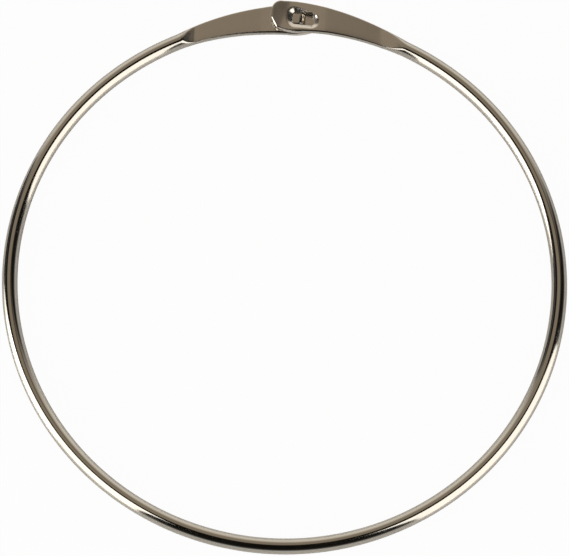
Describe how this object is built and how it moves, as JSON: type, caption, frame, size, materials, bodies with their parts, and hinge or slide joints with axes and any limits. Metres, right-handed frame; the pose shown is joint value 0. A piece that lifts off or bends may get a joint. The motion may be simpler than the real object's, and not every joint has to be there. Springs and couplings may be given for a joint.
{
  "type": "binder ring",
  "caption": "Large round wire binder ring whose flattened ends lap and hook together, to hold punched sheets, tags or keys.",
  "frame": {"origin": "centre of the hoop, on the middle plane of the wire", "axes": "+Z along the hoop's axis towards the side that the hook stands up on, +Y from the centre to the middle of the lapped ends, +X towards the half with the slot"},
  "size_m": [0.127, 0.1301, 0.0036],
  "materials": {
    "nickel_plated_wire": "bright nickel plating on spring steel wire, satin on the pressed flats"
  },
  "bodies": {
    "root": {"binder_ring": "nickel_plated_wire"}
  },
  "joints": []
}
